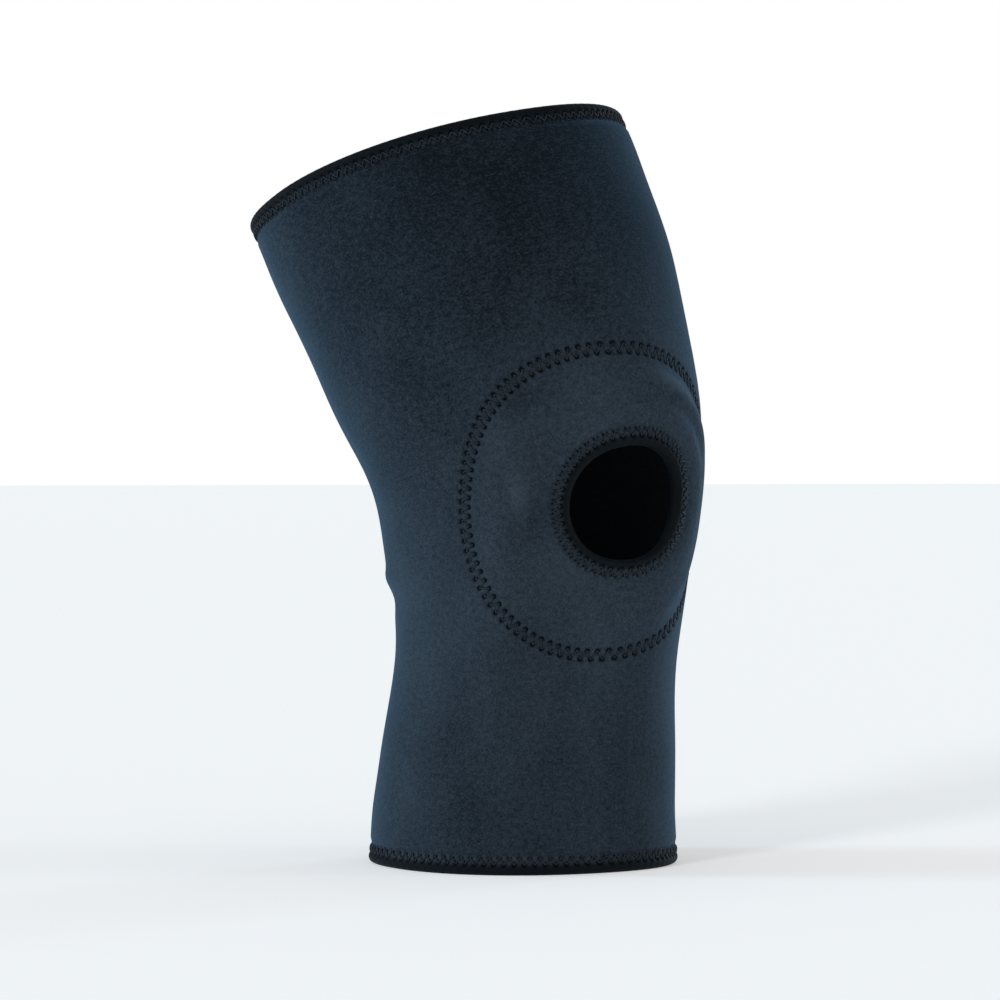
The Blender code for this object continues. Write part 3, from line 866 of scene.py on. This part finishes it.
class Nodes:
    """A small helper over a material's node tree."""

    def __init__(self, name, viewport):
        self.material = bpy.data.materials.new(name)
        self.material.use_nodes = True
        self.material.diffuse_color = (*viewport, 1.0)
        self.tree = self.material.node_tree
        self.shader = self.tree.nodes["Principled BSDF"]

    def add(self, kind, inputs=None, **settings):
        node = self.tree.nodes.new(kind)
        for key, value in settings.items():
            setattr(node, key, value)
        for key, value in (inputs or {}).items():
            self.put(node.inputs[key], value)
        return node

    def put(self, socket, value):
        if isinstance(value, bpy.types.NodeSocket):
            self.tree.links.new(value, socket)
        else:
            socket.default_value = value

    def math(self, operation, *values, clamp=False):
        node = self.add("ShaderNodeMath", operation=operation, use_clamp=clamp)
        for socket, value in zip(node.inputs, values):
            self.put(socket, value)
        return node.outputs[0]

    def mix(self, share, first, second, blend_type="MIX"):
        node = self.add("ShaderNodeMix", data_type="RGBA", blend_type=blend_type)
        for name, value in (("Factor_Float", share), ("A_Color", first), ("B_Color", second)):
            socket = next(i for i in node.inputs if i.identifier == name)
            self.put(socket, value)
        return next(o for o in node.outputs if o.identifier == "Result_Color")

    def ramp(self, value, low, high):
        node = self.add("ShaderNodeMapRange", {"Value": value, "From Min": low, "From Max": high})
        return node.outputs["Result"]

    def place(self, x=1.0, y=1.0):
        """The fabric map in millimetres, divided by these lengths."""
        uv = self.add("ShaderNodeUVMap", uv_map="fabric").outputs["UV"]
        scale = (1.0 / x, 1.0 / y, 1.0)
        node = self.add("ShaderNodeVectorMath", {0: uv, 1: scale}, operation="MULTIPLY")
        return node.outputs[0]

    def noise(self, vector, scale=1.0, detail=2.0, roughness=0.5, distortion=0.0):
        inputs = {
            "Vector": vector,
            "Scale": scale,
            "Detail": detail,
            "Roughness": roughness,
            "Distortion": distortion,
        }
        return self.add("ShaderNodeTexNoise", inputs, noise_dimensions="2D").outputs["Fac"]

    def value(self, name):
        return self.add("ShaderNodeAttribute", attribute_name=name).outputs["Fac"]

    def finish(self, colour, roughness, bump, distance, **sockets):
        self.put(self.shader.inputs["Base Color"], colour)
        self.put(self.shader.inputs["Roughness"], roughness)
        node = self.add("ShaderNodeBump", {"Height": bump, "Distance": distance, "Strength": 1.0})
        self.put(self.shader.inputs["Normal"], node.outputs["Normal"])
        for name, value in sockets.items():
            self.shader.inputs[name.replace("_", " ")].default_value = value
        return self.material


def knit(nodes, wale, course):
    """Heights of plain knitting: columns of V shapes, from 0 to 1, and the place's u and v."""
    split = nodes.add("ShaderNodeSeparateXYZ", {0: nodes.place(wale, course)})
    u, v = split.outputs["X"], split.outputs["Y"]
    inside = nodes.math("ABSOLUTE", nodes.math("SUBTRACT", nodes.math("FRACT", u), 0.5))
    leaning = nodes.math("ADD", v, nodes.math("MULTIPLY", inside, 1.1))
    legs = nodes.math("SINE", nodes.math("MULTIPLY", leaning, TAU))
    valley = nodes.math("COSINE", nodes.math("MULTIPLY", u, TAU))
    total = nodes.math("MULTIPLY_ADD", legs, 0.3, nodes.math("MULTIPLY", valley, -0.2))
    return nodes.math("ADD", total, 0.5)


def heathered(nodes, dark, light):
    """The mixed colours of the jersey, its knitting and its fine noise."""
    knitting = knit(nodes, 0.72, 0.6)
    heather = nodes.noise(nodes.place(0.95, 0.8), 1.0, 2.5, 0.6)
    coarse = nodes.noise(nodes.place(2.6, 1.9), 1.0, 2.0, 0.55)
    cloudy = nodes.noise(nodes.place(24.0, 32.0), 1.0, 3.0, 0.5)
    flecks = nodes.ramp(nodes.noise(nodes.place(0.9, 0.7), 1.0, 1.0, 0.4), 0.70, 0.78)
    # Adds the stretch tone with painted light and shade.
    share = nodes.math("MULTIPLY_ADD", heather, 1.0, nodes.value("tone_and_painted_light"))
    share = nodes.math("MULTIPLY_ADD", coarse, 0.6, nodes.math("SUBTRACT", share, 0.3))
    share = nodes.math("MULTIPLY_ADD", knitting, 0.1, nodes.math("SUBTRACT", share, 0.05))
    share = nodes.math("MULTIPLY_ADD", cloudy, 0.42, nodes.math("SUBTRACT", share, 0.21), clamp=True)
    colour = nodes.mix(share, (*dark, 1.0), (*light, 1.0))
    fleck = (*[1.5 * part for part in light], 1.0)
    colour = nodes.mix(nodes.math("MULTIPLY", flecks, 0.3), colour, fleck)
    return colour, knitting, heather, coarse


def jersey(name, dark, light, sheen):
    """Heathered nylon jersey bonded to foam."""
    nodes = Nodes(name, dark)
    colour, knitting, heather, coarse = heathered(nodes, dark, light)
    # Painted shade in the needle holes and in the back seam's groove.
    seam_shade = nodes.value("seam_shade")
    colour = nodes.mix(nodes.math("MULTIPLY", seam_shade, 0.95), colour, PIT_SHADE)
    roughness = nodes.ramp(heather, -0.6, 1.6)
    roughness = nodes.math("MULTIPLY_ADD", roughness, 0.3, 0.62)
    height = nodes.math("MULTIPLY_ADD", knitting, 0.6, nodes.math("MULTIPLY", heather, 1.0))
    height = nodes.math("ADD", height, nodes.math("MULTIPLY", coarse, 0.8))
    return nodes.finish(
        colour,
        roughness,
        height,
        0.00012,
        Specular_IOR_Level=0.05,
        Sheen_Weight=sheen,
        Sheen_Roughness=SHEEN_ROUGHNESS,
        Sheen_Tint=JERSEY_SHEEN,
    )


def tape_material(name, gloss, strip_share):
    """Fine ribbed elastic binding, near black, which pales along its seam by strip_share."""
    nodes = Nodes(name, (0.006, 0.007, 0.009))
    split = nodes.add("ShaderNodeSeparateXYZ", {0: nodes.place()})
    ribs = nodes.math("SINE", nodes.math("MULTIPLY", split.outputs["X"], TAU / 0.8))
    cross = nodes.math("SINE", nodes.math("MULTIPLY", split.outputs["Y"], TAU / 0.5))
    weave = nodes.math("MULTIPLY", ribs, cross)
    fuzz = nodes.noise(nodes.place(0.6, 0.6), 1.0, 2.0, 0.6)
    cloudy = nodes.noise(nodes.place(14.0, 3.0), 1.0, 2.0, 0.5)
    share = nodes.math("MULTIPLY_ADD", weave, 0.12, nodes.math("MULTIPLY", fuzz, 0.7))
    share = nodes.math("MULTIPLY_ADD", cloudy, 0.5, nodes.math("SUBTRACT", share, 0.15), clamp=True)
    fold = nodes.mix(share, (0.001, 0.0018, 0.0026, 1.0), (0.0045, 0.0078, 0.0105, 1.0))
    strip = heathered(nodes, DARK_JERSEY, LIGHT_JERSEY)[0]
    sewn = nodes.value("sewn")
    colour = nodes.mix(nodes.math("MULTIPLY", sewn, strip_share), fold, strip)
    # Painted shade in the needle holes.
    seam_shade = nodes.value("seam_shade")
    colour = nodes.mix(nodes.math("MULTIPLY", seam_shade, 0.92), colour, (0.0004, 0.0005, 0.0007, 1.0))
    roughness = nodes.math("MULTIPLY_ADD", fuzz, 0.15, 0.6 - 0.38 * gloss)
    roughness = nodes.math("MULTIPLY_ADD", sewn, 0.3 * gloss, roughness)
    height = nodes.math("MULTIPLY_ADD", weave, 0.25, nodes.math("MULTIPLY", fuzz, 0.6))
    return nodes.finish(
        colour,
        roughness,
        height,
        0.00007,
        Specular_IOR_Level=0.05 + 0.02 * gloss,
        Sheen_Weight=0.03,
        Sheen_Roughness=SHEEN_ROUGHNESS,
        Sheen_Tint=TAPE_SHEEN,
    )


def thread_material():
    nodes = Nodes("sewing_thread", (0.014, 0.017, 0.022))
    split = nodes.add("ShaderNodeSeparateXYZ", {0: nodes.place()})
    climb = nodes.math("MULTIPLY", split.outputs["Y"], 1.6)
    twist = nodes.math("MULTIPLY_ADD", split.outputs["X"], 2.0, climb)
    strands = nodes.math("SINE", nodes.math("MULTIPLY", twist, TAU))
    patch = nodes.noise(nodes.place(0.5, 1.7), 1.0, 2.0, 0.6)
    share = nodes.math("MULTIPLY_ADD", patch, 1.5, -0.25)
    share = nodes.math("MULTIPLY_ADD", strands, 0.15, share, clamp=True)
    colour = nodes.mix(share, (0.0035, 0.0055, 0.008, 1.0), (0.023, 0.034, 0.046, 1.0))
    roughness = nodes.math("MULTIPLY_ADD", patch, 0.2, 0.45)
    return nodes.finish(
        colour, roughness, strands, 0.00005, Specular_IOR_Level=0.08, Sheen_Weight=0.05
    )


def foam_material():
    nodes = Nodes("foam", (0.012, 0.012, 0.013))
    cells = nodes.add(
        "ShaderNodeTexVoronoi", {"Vector": nodes.place(0.5, 0.5), "Scale": 1.0}, voronoi_dimensions="2D"
    ).outputs["Distance"]
    patch = nodes.noise(nodes.place(6.0, 6.0))
    colour = nodes.mix(patch, (0.008, 0.008, 0.009, 1.0), (0.018, 0.018, 0.02, 1.0))
    roughness = nodes.math("MULTIPLY_ADD", patch, 0.1, 0.85)
    return nodes.finish(colour, roughness, cells, 0.0001, Specular_IOR_Level=0.2)


def felt_material():
    nodes = Nodes("pad_felt", (0.040, 0.042, 0.046))
    fibres = nodes.noise(nodes.place(0.7, 0.7), 1.0, 4.0, 0.7, 1.5)
    colour = nodes.mix(fibres, (0.018, 0.019, 0.021, 1.0), (0.07, 0.074, 0.08, 1.0))
    roughness = nodes.math("MULTIPLY_ADD", fibres, 0.1, 0.88)
    return nodes.finish(colour, roughness, fibres, 0.0003, Specular_IOR_Level=0.1, Sheen_Weight=0.2)


# The object.
THIGH_HEM_MEAN = float(mean_radius(np.array(SLEEVE_LENGTH)))
CALF_HEM_MEAN = float(mean_radius(np.array(0.0)))

face_jersey = jersey("face_jersey", DARK_JERSEY, LIGHT_JERSEY, 0.28)
lining_jersey = jersey("lining_jersey", (0.006, 0.0075, 0.010), (0.021, 0.025, 0.031), 0.15)
tape = tape_material("binding_tape", 0.0, 0.9)
opening_tape_stuff = tape_material("opening_tape", 0.15, 0.75)
thread = thread_material()

face = face_sheet(face_jersey)
foam = plain_sheet("sleeve_foam_core", FOAM_LAYER, foam_material())
lining = plain_sheet("sleeve_lining", LINING_LAYER, lining_jersey)

stack_inner = float(squeezed(LINING_LAYER[1], 1.0))
opening_inner = stack_inner - PAD_GAP - POCKET_THICKNESS
calf_binding = binding(
    "calf_hem_tape", calf_place, CALF_HEM_STITCHES, HEM_ZIGZAG, TAPE_REACH, stack_inner,
    TAU * CALF_HEM_MEAN, tape,
)
thigh_binding = binding(
    "thigh_hem_tape", thigh_place, THIGH_HEM_STITCHES, HEM_ZIGZAG, TAPE_REACH, stack_inner,
    TAU * THIGH_HEM_MEAN, tape,
)
opening_zigzag = tuple(radius - OPENING_RADIUS for radius in OPENING_ZIGZAG)
opening_tape = binding(
    "opening_tape", opening_place, OPENING_STITCHES, opening_zigzag, TAPE_REACH, opening_inner,
    TAU * OPENING_SEAM_RADIUS * MEAN_STRETCH, opening_tape_stuff,
)

tape_top = float(squeezed(0.0, 1.0)) + TAPE_GAP + TAPE_THICKNESS - TAPE_GROOVE
tape_bottom = stack_inner - TAPE_GAP - TAPE_THICKNESS
ring_inner = float(squeezed(LINING_LAYER[1], RING_SQUEEZE)) - POCKET_GAP - POCKET_THICKNESS
threads = {}
for name, place_at, rows, stitches, surface, inner_surface in (
    ("calf_hem", calf_place, HEM_ZIGZAG, CALF_HEM_STITCHES, tape_top, tape_bottom),
    ("thigh_hem", thigh_place, HEM_ZIGZAG, THIGH_HEM_STITCHES, tape_top, tape_bottom),
    ("opening", opening_place, opening_zigzag, OPENING_STITCHES,
     tape_top, opening_inner - TAPE_GAP - TAPE_THICKNESS),
    ("ring", ring_seam_place, RING_ZIGZAG, RING_STITCHES,
     float(squeezed(0.0, RING_SQUEEZE)), ring_inner),
):
    for side, height in (("outer", surface), ("inner", inner_surface)):
        threads[name, side] = seam_thread(
            f"{name}_seam_{side}_thread", place_at, rows, stitches, height,
            1.0 if side == "outer" else -1.0, thread,
        )
back_seam = back_thread(thread)
seam_tape = back_tape(tape)
pad = ring_pad(felt_material())
pocket = ring_pocket(lining_jersey)


def crossing(obj, slot, *nodes):
    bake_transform(obj)
    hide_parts(*nodes)


def lengths(name):
    return [f"{part}_{name}" for part in ("calf", "knee", "thigh")]


crossing(face, "face_jersey", *lengths("face_fabric"))
crossing(foam, "foam", *lengths("foam_core"))
crossing(lining, "lining_jersey", *lengths("lining"))
crossing(back_seam, "thread", *lengths("back_seam_thread"))
crossing(seam_tape, "binding_tape", *lengths("back_seam_tape"))
crossing(opening_tape, "binding_tape", "opening_binding")
crossing(pad, "pad_felt", "patella_ring_pad")
crossing(pocket, "lining_jersey", "patella_ring_pocket")
for name in ("opening", "ring"):
    for side in ("outer", "inner"):
        crossing(threads[name, side], "thread", f"{name}_zigzag_{side}_thread")
for part, hem in (("calf", calf_binding), ("thigh", thigh_binding)):
    crossing(hem, "binding_tape", f"{part}_hem_binding")
    for side in ("outer", "inner"):
        crossing(threads[f"{part}_hem", side], "thread", f"{part}_hem_zigzag_{side}_thread")


# Studio: floor, lights and camera.
FLOOR_HALF = 40.0
FLOOR_COLOUR = (0.86, 0.86, 0.86)
FLOOR_GLOW = 0.35
WORLD_LIGHT = 0.4


def plain_material(name, colour, roughness, glow):
    nodes = Nodes(name, colour)
    patch = nodes.add("ShaderNodeTexNoise", {"Scale": 3.0, "Detail": 2.0}).outputs["Fac"]
    tint = nodes.mix(patch, (*[0.98 * part for part in colour], 1.0), (*colour, 1.0))
    nodes.put(nodes.shader.inputs["Base Color"], tint)
    nodes.shader.inputs["Roughness"].default_value = roughness
    nodes.shader.inputs["Specular IOR Level"].default_value = 0.1
    nodes.shader.inputs["Emission Color"].default_value = (1.0, 1.0, 1.0, 1.0)
    nodes.shader.inputs["Emission Strength"].default_value = glow
    return nodes.material


def add_floor():
    far = FLOOR_HALF
    corners = [(-far, -far, 0.0), (far, -far, 0.0), (far, far, 0.0), (-far, far, 0.0)]
    mesh = bpy.data.meshes.new("floor")
    mesh.from_pydata(corners, [], [(0, 1, 2, 3)])
    mesh.materials.append(plain_material("floor", FLOOR_COLOUR, 0.9, FLOOR_GLOW))
    floor = bpy.data.objects.new("floor", mesh)
    bpy.context.scene.collection.objects.link(floor)


def add_light(name, place, strength, angle, colour):
    """Soft light from far away, in the direction of place from the object."""
    light = bpy.data.lights.new(name, "SUN")
    light.energy = strength
    light.angle = angle
    light.color = colour
    obj = bpy.data.objects.new(name, light)
    obj.location = place
    obj.rotation_euler = Vector(place).to_track_quat("Z", "Y").to_euler()
    bpy.context.scene.collection.objects.link(obj)


def add_world():
    """A white backdrop that lights the object with less than its full brightness."""
    world = bpy.data.worlds.new("studio")
    world.use_nodes = True
    tree = world.node_tree
    seen = tree.nodes.new("ShaderNodeLightPath")
    strength = tree.nodes.new("ShaderNodeMapRange")
    strength.inputs["To Min"].default_value = WORLD_LIGHT
    background = tree.nodes["Background"]
    background.inputs["Color"].default_value = (1.0, 1.0, 1.0, 1.0)
    tree.links.new(seen.outputs["Is Camera Ray"], strength.inputs["Value"])
    tree.links.new(strength.outputs["Result"], background.inputs["Strength"])
    bpy.context.scene.world = world


def add_camera():
    target = Vector((*(BASE_CENTRE[:2] * MM), 0.145))
    distance, azimuth = 1.55, math.radians(-30.0)
    camera = bpy.data.cameras.new("camera")
    camera.sensor_width = 36.0
    camera.lens = 150.66
    camera.shift_x = -0.0361
    camera.shift_y = -0.0281
    obj = bpy.data.objects.new("camera", camera)
    towards = Vector((math.sin(azimuth), -math.cos(azimuth), 0.0))
    obj.location = target + distance * towards
    obj.rotation_euler = (-towards).to_track_quat("-Z", "Y").to_euler()
    bpy.context.scene.collection.objects.link(obj)
    bpy.context.scene.camera = obj


add_floor()
add_world()
add_light("front", (-2.6, -1.5, 0.9), 1.2, 0.2, (0.95, 0.98, 1.0))
add_light("left", (-2.6, 1.5, 0.75), 1.5, 0.35, (0.52, 0.80, 1.0))
add_light("right", (2.4, -1.6, 0.34), 0.85, 0.3, (0.82, 0.92, 1.0))
add_light("rim", (2.4, 0.8, 0.4), 0.6, 0.25, (0.66, 0.86, 1.0))
add_camera()

bpy.context.scene.view_settings.view_transform = "Standard"
